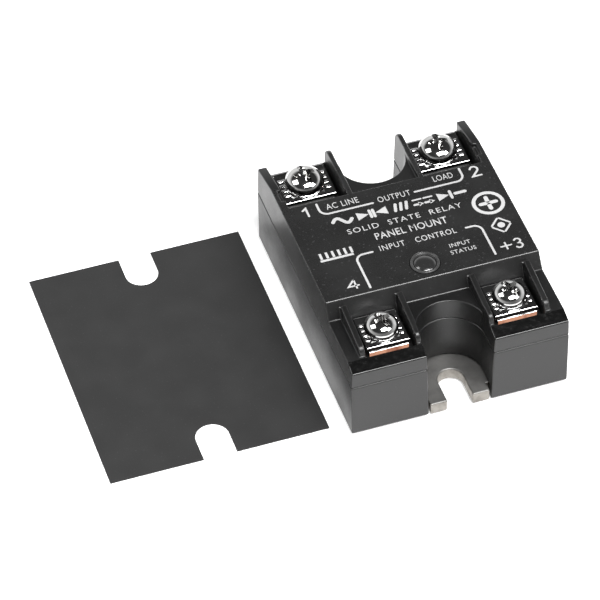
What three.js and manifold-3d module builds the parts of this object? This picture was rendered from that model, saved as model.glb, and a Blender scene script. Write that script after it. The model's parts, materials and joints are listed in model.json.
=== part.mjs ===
// A panel-mount solid state relay: a two-shell housing on a metal base plate, with four
// screw terminals, the power semiconductors and circuit board inside, and the loose
// thermal pad that goes between the base plate and a heat sink.
// Units are millimetres. +Z is up, the input terminals are at -Y and the origin is the
// centre of the base plate's underside.
import * as THREE from "three";
import { mergeVertices } from "three/addons/utils/BufferGeometryUtils.js";
import Module from "manifold-3d";

const wasm = await Module();
wasm.setup();

// ---- Driving sizes ----------------------------------------------------------------

// Housing
const LENGTH = 58.4;
const WIDTH = 44.5;
const CASE_FOOT = 0.1; // the shells stop this far above the base plate's underside
const SEAM = 12.7; // height where the two shells meet
const SEAM_GAP = 0.15;
const DECK_TOP = 20.6;
const SHELF_TOP = 17.2;
const LIP_TOP = 16.3; // top of the end faces, in front of the shelf
const LIP_RUN = 2.8; // length of the sloping lip between end face and shelf
const WALL = 1.8;
const DECK_SKIN = 1.6;
const DECK_WALL = 0.8; // deck edge to the wall under it, at deck height
const SIDE_DRAFT = 0.3; // how much narrower each side is at deck height
const TONGUE = 1.0; // height and reach of the tongue that locates the upper shell

// Mounting recesses and slots
const SLOT_INSET = 5.4; // slot centre to the end of the housing
const SLOT_RADIUS = 2.6;
const RECESS_RADIUS = 6.9; // at shelf height
const RECESS_DRAFT = 0.5; // how much smaller the recess radius is at the bottom
const RECESS_WALL = 1.4;
const LUG_CLEARANCE = 0.3; // lug to the recess wall, each side

// Base plate and thermal pad
const PLATE_THICK = 2.7;
const PAD_THICK = 0.25;
const PAD_GAP = 0.05; // pad top to plate underside
const PAD_INSET = 0.15; // the pad is this much smaller than the housing all round
const PAD_NOTCH_RADIUS = 3.35;
const PAD_AWAY = new THREE.Vector2(-47.8, 3.1); // where the loose pad lies

// Input side
const DECK_FRONT = 16.2; // end face to the deck's front edge
const DROP_RUN = 2.0; // horizontal run of the sloping face from deck to shelf
const RIB = 1.2;
const OUTER_SHELF = 2.85; // width of the shelf outside the outer rib
const RIB_END = 3.2; // end face to the front end of a rib
const RIB_TOP = 20.2;
const RIB_FRONT_TOP = 19.0;
const RIB_NOTCH = 1.4; // gap between the deck and the start of a rib's top
const INPUT_ROW = 9.0; // end face to the input screws
const INPUT_POCKET_FLOOR = 15.5;
const INPUT_POCKET_GAP = 0.3; // strap to the pocket's front wall, at least

// Output side
const DECK_REAR = 14.7; // end face to the deck's rear edge
const OUTPUT_ROW = 5.8; // end face to the output screws
const OUTPUT_POCKET_FLOOR = 15.4;
const OUTPUT_POCKET_END = 0.6;
const OUTER_WALL = 2.05;
const OUTER_WALL_END = 18.8; // height of the outer wall at its rear end
const OUTER_WALL_SLOPE = 8.7; // length over which the outer wall slopes down
const BARRIER = 1.1;
const BARRIER_ROUND = 2.4; // radius of the barrier's rear top corner
const REAR_LEDGE_DROP = 1.2; // deck to the ledge around the rear recess
const CATCH = { from: 2.3, length: 3.1, depth: 0.9, reach: 0.8 }; // notch in the outer wall

// Terminals
const STRAP_THICK = 1.0;
const STRAP_CLEARANCE = 1.1; // strap to pocket wall, each side
const CLAMP_CLEARANCE = 0.6; // clamp to pocket wall, each side
const CLAMP_THICK = 0.9;
const CLAMP_TOE = 0.35; // how far the clamp's front edge bends down
const CLAMP_RIDGE = { width: 1.1, height: 0.3 };
const SEAT_GAP = 0.05; // parts that rest on each other keep this gap
const THREAD_GAP = 0.15; // screw to nut, on the radius
const HOLE_GAP = 0.35; // screw to clamp and strap, on the radius
const INPUT_SCREW = { thread: 1.75, head: 3.45, headHigh: 2.8, long: 6.3 };
const OUTPUT_SCREW = { thread: 2.08, head: 4.0, headHigh: 3.1, long: 6.6 };
const INPUT_CLAMP_LONG = 8.7;
const OUTPUT_CLAMP_LONG = 9.2;
const INPUT_NUT_ACROSS = 6.35;
const OUTPUT_NUT_ACROSS = 6.4;
const NUT_THICK = 2.5;
const NUT_GAP = 0.15;
const INPUT_STRAP_OUT = 0.35; // how far the strap shows in front of its clamp
const OUTPUT_STRAP_REAR = 1.6; // end face to the strap's rear edge

// Circuit board and status light
const BOARD_BOTTOM = 9.3;
const BOARD_THICK = 1.6;
const BOARD_GAP = 0.5; // board edge to the shell around it
const LIGHT = { x: -0.2, y: -9.0 }; // centre of the status light
const LENS_RADIUS = 2.25;
const LENS_RING = 3.0; // outer radius of the shallow ring around the lens
const LED_RADIUS = 1.5;

// Power section
const SUBSTRATE = { long: 25, wide: 36, thick: 0.63 };
const LAND = { long: 23, gap: 1.5, thick: 0.3, margin: 1.0 };
const DIE = { side: 7.2, thick: 0.4 };
const LINK_THICK = 0.5;
const LEAD_RADIUS = 0.4;
const POTTING_GAP = 0.4; // clear space left around what the potting surrounds

const ARC_STEPS = 28; // steps in a half circle of the recess

// ---- Sizes that follow -----------------------------------------------------------

const END = LENGTH / 2;
const SIDE = WIDTH / 2;
const SLOT_Y = END - SLOT_INSET;
const LUG_HALF = RECESS_RADIUS - RECESS_DRAFT - LUG_CLEARANCE;
const INNER_SIDE = SIDE - WALL;
const INNER_END = END - WALL;
const DECK_FRONT_Y = -END + DECK_FRONT;
const DECK_REAR_Y = END - DECK_REAR;
const COVER_FOOT = SEAM - 1.3; // underside of the pocket blocks, inside the lower shell

// Front pockets lie between an inner rib beside the recess and an outer rib.
const RIB_INNER = RECESS_RADIUS - 0.1;
const INPUT_POCKET = pocketSpan(RIB_INNER + RIB, SIDE - OUTER_SHELF - RIB);
const OUTPUT_POCKET = pocketSpan(RECESS_RADIUS + BARRIER, SIDE - OUTER_WALL);

const INPUT = {
  names: ["3", "4"],
  pocket: INPUT_POCKET,
  y: -END + INPUT_ROW,
  floor: INPUT_POCKET_FLOOR,
  screw: INPUT_SCREW,
  clampLong: INPUT_CLAMP_LONG,
  nutAcross: INPUT_NUT_ACROSS,
  toe: -1,
};
const OUTPUT = {
  names: ["2", "1"],
  pocket: OUTPUT_POCKET,
  y: END - OUTPUT_ROW,
  floor: OUTPUT_POCKET_FLOOR,
  screw: OUTPUT_SCREW,
  clampLong: OUTPUT_CLAMP_LONG,
  nutAcross: OUTPUT_NUT_ACROSS,
  toe: -1,
};

function pocketSpan(inner, outer) {
  return { inner, outer, middle: (inner + outer) / 2, wide: outer - inner };
}

function strapTop(row) {
  return row.floor + SEAT_GAP + STRAP_THICK;
}

function strapHalf(row) {
  return row.pocket.wide / 2 - STRAP_CLEARANCE;
}

function clampTop(row) {
  return strapTop(row) + SEAT_GAP + CLAMP_THICK;
}

// ---- Solids ----------------------------------------------------------------------

// A closed three.js geometry as a manifold-3d solid.
function solid(geometry) {
  const bare = geometry.clone();
  bare.deleteAttribute("normal");
  bare.deleteAttribute("uv");
  const merged = mergeVertices(bare);
  const mesh = new wasm.Mesh({
    numProp: 3,
    vertProperties: merged.attributes.position.array,
    triVerts: new Uint32Array(merged.index.array),
  });
  return new wasm.Manifold(mesh);
}

function geometryOf(body) {
  const mesh = body.getMesh();
  const geometry = new THREE.BufferGeometry();
  geometry.setAttribute("position", new THREE.BufferAttribute(mesh.vertProperties, 3));
  geometry.setIndex(new THREE.BufferAttribute(mesh.triVerts, 1));
  const loose = geometry.toNonIndexed();
  loose.computeVertexNormals();
  return loose;
}

function join(...bodies) {
  return bodies.reduce((sum, body) => sum.add(body));
}

function cut(body, ...tools) {
  return tools.reduce((rest, tool) => rest.subtract(tool), body);
}

// A box between two values on each axis, in either order.
function block([xa, xb], [ya, yb], [za, zb]) {
  const size = [Math.abs(xb - xa), Math.abs(yb - ya), Math.abs(zb - za)];
  const geometry = new THREE.BoxGeometry(...size);
  geometry.translate((xa + xb) / 2, (ya + yb) / 2, (za + zb) / 2);
  return solid(geometry);
}

function outline(points) {
  return new THREE.Shape(points.map(([a, b]) => new THREE.Vector2(a, b)));
}

function upright(shape, [low, high], steps = 12) {
  const geometry = new THREE.ExtrudeGeometry(shape, {
    depth: high - low,
    bevelEnabled: false,
    curveSegments: steps,
  });
  geometry.translate(0, 0, low);
  return geometry;
}

// A side view, drawn in Y and Z, pushed out along X.
function sideways(shape, [xa, xb], steps = 8) {
  const geometry = upright(shape, [Math.min(xa, xb), Math.max(xa, xb)], steps);
  const toSide = new THREE.Matrix4().makeBasis(
    new THREE.Vector3(0, 1, 0),
    new THREE.Vector3(0, 0, 1),
    new THREE.Vector3(1, 0, 0),
  );
  geometry.applyMatrix4(toSide);
  return geometry;
}

function rod(radius, [low, high], x, y, sides = 16) {
  const geometry = new THREE.CylinderGeometry(radius, radius, high - low, sides);
  geometry.rotateX(Math.PI / 2);
  geometry.translate(x, y, (low + high) / 2);
  return solid(geometry);
}

// Two of the flats face along Y.
function hexagon(across, [low, high], x, y) {
  return rod(across / 2 / Math.cos(Math.PI / 6), [low, high], 0, 0, 6)
    .rotate([0, 0, 30])
    .translate([x, y, 0]);
}

// A U open towards the near end: a half circle about the slot centre with straight sides.
function uShape(radius, reach) {
  const shape = new THREE.Shape();
  shape.moveTo(-radius, -reach);
  shape.lineTo(radius, -reach);
  shape.lineTo(radius, 0);
  shape.absarc(0, 0, radius, 0, Math.PI, false);
  return shape;
}

// end is -1 at the input end and 1 at the output end.
function placeAtEnd(geometry, end) {
  if (end > 0) geometry.rotateZ(Math.PI);
  geometry.translate(0, end * SLOT_Y, 0);
  return geometry;
}

// The mounting recess, tapering downwards, grown on the radius by `grow`.
function recess(end, grow, [low, high]) {
  const radiusAt = (z) => RECESS_RADIUS - RECESS_DRAFT * (1 - z / SHELF_TOP) + grow;
  const geometry = upright(uShape(radiusAt(low), SLOT_INSET + 2), [low, high], ARC_STEPS);
  const widen = radiusAt(high) / radiusAt(low);
  const position = geometry.getAttribute("position");
  for (let i = 0; i < position.count; i += 1) {
    if (position.getZ(i) < high - 1e-6) continue;
    position.setXY(i, position.getX(i) * widen, position.getY(i) * widen);
  }
  return solid(placeAtEnd(geometry, end));
}

function slot(end, radius, [low, high], reach = SLOT_INSET + 2) {
  return solid(placeAtEnd(upright(uShape(radius, reach), [low, high], 16), end));
}

// ---- Base plate and thermal pad ---------------------------------------------------

function basePlate() {
  const height = [0, PLATE_THICK];
  const side = INNER_SIDE - LUG_CLEARANCE;
  const end = INNER_END - LUG_CLEARANCE;
  const body = block([-side, side], [-end, end], height);
  const lugs = block([-LUG_HALF, LUG_HALF], [-END, END], height);
  const through = [-1, PLATE_THICK + 1];
  return cut(join(body, lugs), slot(-1, SLOT_RADIUS, through), slot(1, SLOT_RADIUS, through));
}

function thermalPad() {
  const side = SIDE - PAD_INSET;
  const end = END - PAD_INSET;
  const height = [-PAD_GAP - PAD_THICK, -PAD_GAP];
  const sheet = block([-side, side], [-end, end], height);
  const through = [height[0] - 1, height[1] + 1];
  const notches = [-1, 1].map((at) => slot(at, PAD_NOTCH_RADIUS, through));
  return cut(sheet, ...notches).translate([PAD_AWAY.x, PAD_AWAY.y, 0]);
}

// ---- Housing ---------------------------------------------------------------------

function lowerCase() {
  const top = SEAM - SEAM_GAP;
  const shell = block([-SIDE, SIDE], [-END, END], [CASE_FOOT, top]);
  const ledge = PLATE_THICK + LUG_CLEARANCE; // the recess walls stand above the base plate
  const inside = block([-INNER_SIDE, INNER_SIDE], [-INNER_END, INNER_END], [ledge, top + 1]);
  const walls = [-1, 1].map((end) => recess(end, RECESS_WALL, [1, top + 2]));
  const plateRoom = block([-INNER_SIDE, INNER_SIDE], [-INNER_END, INNER_END], [-1, ledge]);
  const recesses = [-1, 1].map((end) => recess(end, 0, [-1, top + 1]));
  const tongues = [-1, 1].map((side) => tongue(side, 0));
  return join(cut(shell, cut(inside, ...walls), plateRoom, ...recesses), ...tongues);
}

// The tongue on the lower shell's long sides, or with `gap` its groove in the upper shell.
function tongue(side, gap) {
  const inner = INNER_SIDE - gap;
  const outer = INNER_SIDE + WALL / 2 + gap;
  const along = [DECK_FRONT_Y + 1.5 - gap, DECK_REAR_Y - 1.5 + gap];
  return block([side * inner, side * outer], along, [SEAM - 1, SEAM + TONGUE + gap]);
}

// Side view of the upper shell: lip, shelf, drop face, deck, and the rounded rear end.
function coverProfile() {
  const shape = new THREE.Shape();
  shape.moveTo(-END, COVER_FOOT);
  shape.lineTo(END, COVER_FOOT);
  shape.lineTo(END, DECK_TOP - BARRIER_ROUND);
  shape.absarc(END - BARRIER_ROUND, DECK_TOP - BARRIER_ROUND, BARRIER_ROUND, 0, Math.PI / 2);
  shape.lineTo(DECK_FRONT_Y, DECK_TOP);
  shape.lineTo(DECK_FRONT_Y - DROP_RUN, SHELF_TOP);
  shape.lineTo(-END + LIP_RUN, SHELF_TOP);
  shape.lineTo(-END, LIP_TOP);
  return shape;
}

// Where the sloping drop face reaches a given height.
function dropY(z) {
  return DECK_FRONT_Y - (DROP_RUN * (DECK_TOP - z)) / (DECK_TOP - SHELF_TOP);
}

function ribProfile() {
  const start = DECK_FRONT_Y - RIB_NOTCH;
  const end = -END + RIB_END;
  const shape = new THREE.Shape();
  shape.moveTo(end, SHELF_TOP - 1);
  shape.lineTo(DECK_FRONT_Y + 0.5, SHELF_TOP - 1);
  shape.lineTo(DECK_FRONT_Y + 0.5, RIB_TOP - 1);
  shape.lineTo(start + 0.3, RIB_TOP - 1);
  shape.lineTo(start, RIB_TOP);
  shape.lineTo(end + 1.4, RIB_FRONT_TOP);
  shape.quadraticCurveTo(end, RIB_FRONT_TOP - 0.3, end, SHELF_TOP - 1);
  return shape;
}

function ribs() {
  const inner = [RIB_INNER, RIB_INNER + RIB];
  const outer = [INPUT_POCKET.outer, INPUT_POCKET.outer + RIB];
  return bothSides((side) =>
    [inner, outer].map((span) => solid(sideways(ribProfile(), span.map((x) => side * x)))),
  ).flat();
}

function bothSides(make) {
  return [make(1), make(-1)];
}

function inputClampFront() {
  return INPUT.y - INPUT_CLAMP_LONG / 2;
}

function inputPocketFront() {
  const strapFront = inputClampFront() - INPUT_STRAP_OUT;
  return Math.min(-END + LIP_RUN, strapFront - INPUT_POCKET_GAP);
}

// Room for one terminal: pocket, nut seat, strap slot and screw hole.
function inputPocket(side) {
  const { inner, outer, middle } = INPUT_POCKET;
  const high = DECK_TOP + 2;
  const room = outline([
    [dropY(INPUT_POCKET_FLOOR), INPUT_POCKET_FLOOR],
    [dropY(high), high],
    [inputPocketFront(), high],
    [inputPocketFront(), INPUT_POCKET_FLOOR],
  ].reverse());
  const half = strapHalf(INPUT) + SEAT_GAP * 4;
  const legY = inputLegY();
  const legRoom = block(
    [side * (middle - half), side * (middle + half)],
    [legY[0] - 0.3, legY[1] + 0.3],
    [COVER_FOOT - 1, strapTop(INPUT) + 0.15],
  );
  return join(
    solid(sideways(room, [side * inner, side * outer])),
    legRoom,
    ...nutAndScrewRoom(INPUT, side),
  );
}

function outputPocket(side) {
  const { inner, outer, middle } = OUTPUT_POCKET;
  const high = DECK_TOP + 2;
  const room = outline([
    [DECK_REAR_Y + 0.5, OUTPUT_POCKET_FLOOR],
    [END - OUTPUT_POCKET_END, OUTPUT_POCKET_FLOOR],
    [END - OUTPUT_POCKET_END, LIP_TOP + 0.2],
    [END + 1, LIP_TOP - 0.1],
    [END + 1, high],
    [DECK_REAR_Y - 0.2, high],
  ]);
  const half = strapHalf(OUTPUT) + SEAT_GAP * 4;
  const legY = outputLegY();
  const legRoom = block(
    [side * (middle - half), side * (middle + half)],
    [legY[0] - 0.3, legY[1] + 0.6],
    [COVER_FOOT - 1, strapTop(OUTPUT)],
  );
  return join(
    solid(sideways(room, [side * inner, side * outer])),
    legRoom,
    ...nutAndScrewRoom(OUTPUT, side),
  );
}

function nutAndScrewRoom(row, side) {
  const x = side * row.pocket.middle;
  const nutBottom = row.floor - SEAT_GAP - NUT_THICK;
  return [
    hexagon(row.nutAcross + 2 * NUT_GAP, [nutBottom - SEAT_GAP, row.floor + 1], x, row.y),
    rod(row.screw.thread + HOLE_GAP, [COVER_FOOT - 1, row.floor], x, row.y),
  ];
}

// What is taken off the outer walls beside the output pockets.
function outerWallTrim(side) {
  const slope = outline([
    [END - OUTER_WALL_SLOPE, DECK_TOP + 0.01],
    [END + 1, OUTER_WALL_END - (DECK_TOP - OUTER_WALL_END) / OUTER_WALL_SLOPE],
    [END + 1, DECK_TOP + 2],
    [END - OUTER_WALL_SLOPE, DECK_TOP + 2],
  ]);
  const span = [side * (OUTPUT_POCKET.outer - 0.1), side * (SIDE + 1)];
  const notch = block(
    [side * (OUTPUT_POCKET.outer - 0.1), side * (OUTPUT_POCKET.outer + CATCH.reach)],
    [DECK_REAR_Y + CATCH.from, DECK_REAR_Y + CATCH.from + CATCH.length],
    [DECK_TOP - CATCH.depth, DECK_TOP + 1],
  );
  return [solid(sideways(slope, span)), notch];
}

function topCover() {
  const profile = sideways(coverProfile(), [-SIDE, SIDE]);
  const position = profile.getAttribute("position");
  for (let i = 0; i < position.count; i += 1) {
    const rise = Math.max(0, position.getZ(i) - SEAM) / (DECK_TOP - SEAM);
    position.setX(i, position.getX(i) - Math.sign(position.getX(i)) * SIDE_DRAFT * rise);
  }
  const body = join(solid(profile), ...ribs());

  // Below the seam only the pocket blocks remain, inside the lower shell.
  const clear = SEAM_GAP * 2;
  const skirt = cut(
    block([-SIDE - 1, SIDE + 1], [-END - 1, END + 1], [COVER_FOOT - 1, SEAM]),
    block(
      [-INNER_SIDE + clear, INNER_SIDE - clear],
      [-INNER_END + clear, INNER_END - clear],
      [COVER_FOOT - 2, SEAM + 1],
    ),
  );
  const recessRims = [-1, 1].map((end) =>
    recess(end, RECESS_WALL + clear, [COVER_FOOT - 1, SEAM]),
  );
  const underDeck = block(
    [-INNER_SIDE, INNER_SIDE],
    [DECK_FRONT_Y + DECK_WALL, DECK_REAR_Y - DECK_WALL],
    [COVER_FOOT - 1, DECK_TOP - DECK_SKIN],
  );
  const grooves = bothSides((side) => tongue(side, SEAM_GAP));
  const recesses = [-1, 1].map((end) => recess(end, 0, [COVER_FOOT - 1, DECK_TOP + 1]));
  const rearLedge = block(
    [-RECESS_RADIUS, RECESS_RADIUS],
    [DECK_REAR_Y, END + 1],
    [DECK_TOP - REAR_LEDGE_DROP, DECK_TOP + 1],
  );
  const lightHole = rod(LENS_RADIUS + SEAT_GAP, [SEAM, DECK_TOP + 1], LIGHT.x, LIGHT.y, 24);
  const lightRing = rod(LENS_RING, [DECK_TOP - 0.25, DECK_TOP + 1], LIGHT.x, LIGHT.y, 24);
  return cut(
    body,
    skirt,
    ...recessRims,
    underDeck,
    ...grooves,
    ...recesses,
    rearLedge,
    ...bothSides(inputPocket),
    ...bothSides(outputPocket),
    ...bothSides(outerWallTrim).flat(),
    lightHole,
    lightRing,
  );
}

// ---- Terminals -------------------------------------------------------------------

// The input strap's leg goes down behind the pocket, into the board.
function inputLegY() {
  const rear = dropY(INPUT_POCKET_FLOOR) + 0.1;
  return [rear, rear + STRAP_THICK];
}

// The output strap's leg goes down between its pocket's deck side and its nut.
function outputLegY() {
  const rear = OUTPUT.y - OUTPUT.nutAcross / 2 - NUT_GAP - SEAT_GAP;
  return [rear - STRAP_THICK, rear];
}

function screwHoleInStrap(row, side) {
  const x = side * row.pocket.middle;
  return rod(row.screw.thread + HOLE_GAP, [row.floor - 1, strapTop(row) + 1], x, row.y, 20);
}

function inputStrap(side) {
  const half = strapHalf(INPUT);
  const x = side * INPUT_POCKET.middle;
  const top = strapTop(INPUT);
  const [legFront, legBack] = inputLegY();
  const flat = block([x - half, x + half], [inputClampFront() - INPUT_STRAP_OUT, legBack], [
    top - STRAP_THICK,
    top,
  ]);
  const leg = block([x - half / 2, x + half / 2], [legFront, legBack], [BOARD_BOTTOM, top]);
  return cut(join(flat, leg), screwHoleInStrap(INPUT, side));
}

function outputStrap(side) {
  const half = strapHalf(OUTPUT);
  const x = side * OUTPUT_POCKET.middle;
  const top = strapTop(OUTPUT);
  const [legFront, legBack] = outputLegY();
  const foot = landTop() + SEAT_GAP;
  const flat = block([x - half, x + half], [legFront, END - OUTPUT_STRAP_REAR], [
    top - STRAP_THICK,
    top,
  ]);
  const leg = block([x - half, x + half], [legFront, legBack], [foot, top]);
  const toes = block(
    [side * (landOuter() - 7), side * (landOuter() - 0.5)],
    [landRear() - 3.5, legBack],
    [foot, foot + STRAP_THICK],
  );
  return cut(join(flat, leg, toes), screwHoleInStrap(OUTPUT, side));
}

function nut(row, side) {
  const x = side * row.pocket.middle;
  const top = row.floor - SEAT_GAP;
  const bore = rod(row.screw.thread + THREAD_GAP, [SEAM - 3, top + 1], x, row.y, 20);
  return cut(hexagon(row.nutAcross, [top - NUT_THICK, top], x, row.y), bore);
}

// A pressure plate: two ridges across it, and a front edge that bends down.
function clamp(row, side) {
  const x = side * row.pocket.middle;
  const half = row.pocket.wide / 2 - CLAMP_CLEARANCE;
  const reach = row.clampLong / 2;
  const top = clampTop(row);
  const bottom = top - CLAMP_THICK;
  const shape = outline([
    [row.y + row.toe * reach, top - CLAMP_THICK],
    [row.y - row.toe * reach, bottom],
    [row.y - row.toe * reach, top],
    [row.y + row.toe * (reach - 1.2), top],
    [row.y + row.toe * reach, top - CLAMP_TOE],
  ]);
  const plate = solid(sideways(shape, [x - half, x + half]));
  const ridgeY = reach * 0.42;
  const wing = [row.screw.head + 0.3, half - 0.3];
  const ridges = [-1, 1].flatMap((across) =>
    [-1, 1].map((along) =>
      block(
        [x + across * wing[0], x + across * wing[1]],
        [
          row.y + along * ridgeY - CLAMP_RIDGE.width / 2,
          row.y + along * ridgeY + CLAMP_RIDGE.width / 2,
        ],
        [top - 0.2, top + CLAMP_RIDGE.height],
      ),
    ),
  );
  const hole = rod(row.screw.thread + HOLE_GAP, [bottom - 1, top + 1], x, row.y, 20);
  return cut(join(plate, ...ridges), hole);
}

// A pan-head screw with a cross recess, seated on its clamp.
function screw(row, side) {
  const { thread, head, headHigh, long } = row.screw;
  const seat = clampTop(row) + SEAT_GAP;
  const profile = [
    [0, -long],
    [thread - 0.4, -long],
    [thread, -long + 0.5],
    [thread, 0],
    [head, 0],
    [head, headHigh * 0.45],
    [head * 0.93, headHigh * 0.72],
    [head * 0.72, headHigh * 0.93],
    [head * 0.4, headHigh],
    [0, headHigh],
  ].map(([radius, z]) => new THREE.Vector2(radius, z));
  const turned = new THREE.LatheGeometry(profile, 24);
  turned.rotateX(Math.PI / 2);
  const arm = head * 0.68;
  const blade = 0.5;
  const deep = [headHigh * 0.5, headHigh + 1];
  const body = cut(
    solid(turned),
    block([-arm, arm], [-blade, blade], deep),
    block([-blade, blade], [-arm, arm], deep),
  );
  return body.translate([side * row.pocket.middle, row.y, seat]);
}

// ---- Power section ---------------------------------------------------------------

function landTop() {
  return PLATE_THICK + 3 * SEAT_GAP + SUBSTRATE.thick + LAND.thick;
}

function landOuter() {
  return SUBSTRATE.wide / 2 - LAND.margin;
}

function landRear() {
  return LAND.long / 2;
}

function substrate() {
  const low = PLATE_THICK + SEAT_GAP;
  const x = SUBSTRATE.wide / 2;
  const y = SUBSTRATE.long / 2;
  return block([-x, x], [-y, y], [low, low + SUBSTRATE.thick]);
}

function land(side) {
  const top = landTop();
  const y = LAND.long / 2;
  return block([side * LAND.gap / 2, side * landOuter()], [-y, y], [top - LAND.thick, top]);
}

const DIE_X = 9.0; // centre of a thyristor chip, from the middle
const DIE_Y = 3.8;

// Each chip sits on its own land; the chip on the right is nearer the input end.
function dieY(side) {
  return -side * DIE_Y;
}

function dieTop() {
  return landTop() + SEAT_GAP + DIE.thick;
}

function thyristor(side) {
  const half = DIE.side / 2;
  const x = side * DIE_X;
  const y = dieY(side);
  const low = landTop() + SEAT_GAP;
  return block([x - half, x + half], [y - half, y + half], [low, low + DIE.thick]);
}

// A strip from the top of one chip down to the other chip's land.
function link(side) {
  const y = dieY(side);
  const half = 1.8;
  const top = dieTop() + SEAT_GAP + LINK_THICK;
  const low = landTop() + SEAT_GAP;
  const near = side * (DIE_X + 1.5);
  const far = -side * (LAND.gap / 2 + 2.5);
  const bend = -side * (LAND.gap / 2 + 0.5);
  const bridge = block([near, bend], [y - half, y + half], [top - LINK_THICK, top]);
  const riser = block([bend, bend + side * LINK_THICK], [y - half, y + half], [low, top]);
  const foot = block([bend, far], [y - half, y + half], [low, low + LINK_THICK]);
  return join(bridge, riser, foot);
}

// Where a chip's gate lead and its return lead stand.
function leadPlaces(side) {
  const gate = { x: side * (DIE_X + DIE.side / 2 - 1), y: dieY(side) - side * 2.6, z: dieTop() };
  const back = { x: side * 3.0, y: dieY(side) + side * 4.0, z: landTop() };
  return { gate, back };
}

function lead({ x, y, z }) {
  return rod(LEAD_RADIUS, [z + SEAT_GAP, BOARD_BOTTOM - SEAT_GAP], x, y, 10);
}

function potting() {
  const top = BOARD_BOTTOM - 0.4;
  const floor = PLATE_THICK + 0.3;
  const side = INNER_SIDE - 0.3;
  const end = INNER_END - 0.3;
  const fill = block([-side, side], [-end, end], [floor, top]);
  const walls = [-1, 1].map((at) => recess(at, RECESS_WALL + 0.3, [floor - 1, top + 1]));
  const chamberX = SUBSTRATE.wide / 2 + POTTING_GAP;
  const chamberY = SUBSTRATE.long / 2 + POTTING_GAP;
  const roof = dieTop() + SEAT_GAP + LINK_THICK + POTTING_GAP;
  const chamber = block([-chamberX, chamberX], [-chamberY, chamberY], [floor - 1, roof]);
  const strapRooms = bothSides(outputStrapRoom).flat();
  const leadHoles = bothSides((at) =>
    Object.values(leadPlaces(at)).map(({ x, y }) => leadHole(x, y, [roof - 1, top + 1])),
  ).flat();
  return cut(fill, ...walls, chamber, ...strapRooms, ...leadHoles);
}

function leadHole(x, y, height) {
  return rod(LEAD_RADIUS + POTTING_GAP, height, x, y, 10);
}

function outputStrapRoom(side) {
  const half = strapHalf(OUTPUT) + POTTING_GAP;
  const x = side * OUTPUT_POCKET.middle;
  const [front, back] = outputLegY();
  const foot = landTop() + STRAP_THICK + 2 * POTTING_GAP;
  const leg = [front - POTTING_GAP, back + POTTING_GAP];
  return [
    block([x - half, x + half], leg, [PLATE_THICK - 1, BOARD_BOTTOM]),
    block([side * (landOuter() - 7.4), side * landOuter()], [0, leg[1]], [PLATE_THICK - 1, foot]),
  ];
}

// ---- Circuit board and what is on it ----------------------------------------------

function circuitBoard() {
  const height = [BOARD_BOTTOM, BOARD_BOTTOM + BOARD_THICK];
  const side = INNER_SIDE - BOARD_GAP;
  const middleEnd = SLOT_Y - RECESS_RADIUS - RECESS_WALL - BOARD_GAP;
  const earInner = RECESS_RADIUS + RECESS_WALL + BOARD_GAP;
  const [legFront, legBack] = inputLegY();
  const frontEnd = legFront - 1.8;
  const rearEnd = outputLegY()[0] - BOARD_GAP;
  const ears = bothSides((at) => block([at * earInner, at * side], [frontEnd, rearEnd], height));
  const main = block([-side, side], [-middleEnd, middleEnd], height);
  const tab = strapHalf(INPUT) / 2 + 0.2;
  const slots = bothSides((at) =>
    block(
      [at * INPUT_POCKET.middle - tab, at * INPUT_POCKET.middle + tab],
      [legFront - 0.2, legBack + 0.2],
      [BOARD_BOTTOM - 1, BOARD_BOTTOM + BOARD_THICK + 1],
    ),
  );
  return cut(join(main, ...ears), ...slots);
}

const ON_BOARD = BOARD_BOTTOM + BOARD_THICK + SEAT_GAP;

// A body with wires bent down at both ends, lying along X.
function axialPart(x, y, radius, long) {
  const body = new THREE.CylinderGeometry(radius, radius, long, 16);
  body.rotateZ(Math.PI / 2);
  const z = ON_BOARD + 0.3 + radius;
  body.translate(x, y, z);
  const wire = 0.3;
  const reach = long / 2 + 1.2;
  const across = block([x - reach, x + reach], [y - wire, y + wire], [z - wire, z + wire]);
  const legs = [-1, 1].map((at) =>
    block(
      [x + at * reach, x + at * (reach - 2 * wire)],
      [y - wire, y + wire],
      [ON_BOARD, z],
    ),
  );
  return join(solid(body), across, ...legs);
}

// The six-leg package that carries the control signal across the isolation gap.
function optocoupler() {
  const [x, y] = [-0.5, 0.5];
  const body = block([x - 3.2, x + 3.2], [y - 3.6, y + 3.6], [ON_BOARD + 0.7, ON_BOARD + 4.1]);
  const legs = [-1, 1].flatMap((side) =>
    [-2.54, 0, 2.54].flatMap((step) => [
      block([x + side * 3, x + side * 4], [y + step - 0.5, y + step + 0.5], [
        ON_BOARD + 2.0,
        ON_BOARD + 2.4,
      ]),
      block([x + side * 3.6, x + side * 4], [y + step - 0.5, y + step + 0.5], [
        ON_BOARD,
        ON_BOARD + 2.2,
      ]),
    ]),
  );
  return join(body, ...legs);
}

function limiterTransistor() {
  const [x, y] = [9.5, -6.0];
  const shape = new THREE.Shape();
  shape.absarc(0, 0, 2.4, -0.2 * Math.PI, 1.2 * Math.PI, false);
  const body = upright(shape, [ON_BOARD + 1.2, ON_BOARD + 5.6], 16);
  body.translate(x, y, 0);
  const legs = [-1.27, 0, 1.27].map((step) =>
    block([x + step - 0.25, x + step + 0.25], [y, y + 0.5], [ON_BOARD, ON_BOARD + 1.5]),
  );
  return join(solid(body), ...legs);
}

function snubberCapacitor() {
  return block([-13.5, 0.5], [7.0, 11.4], [ON_BOARD, ON_BOARD + 7.0]);
}

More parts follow.
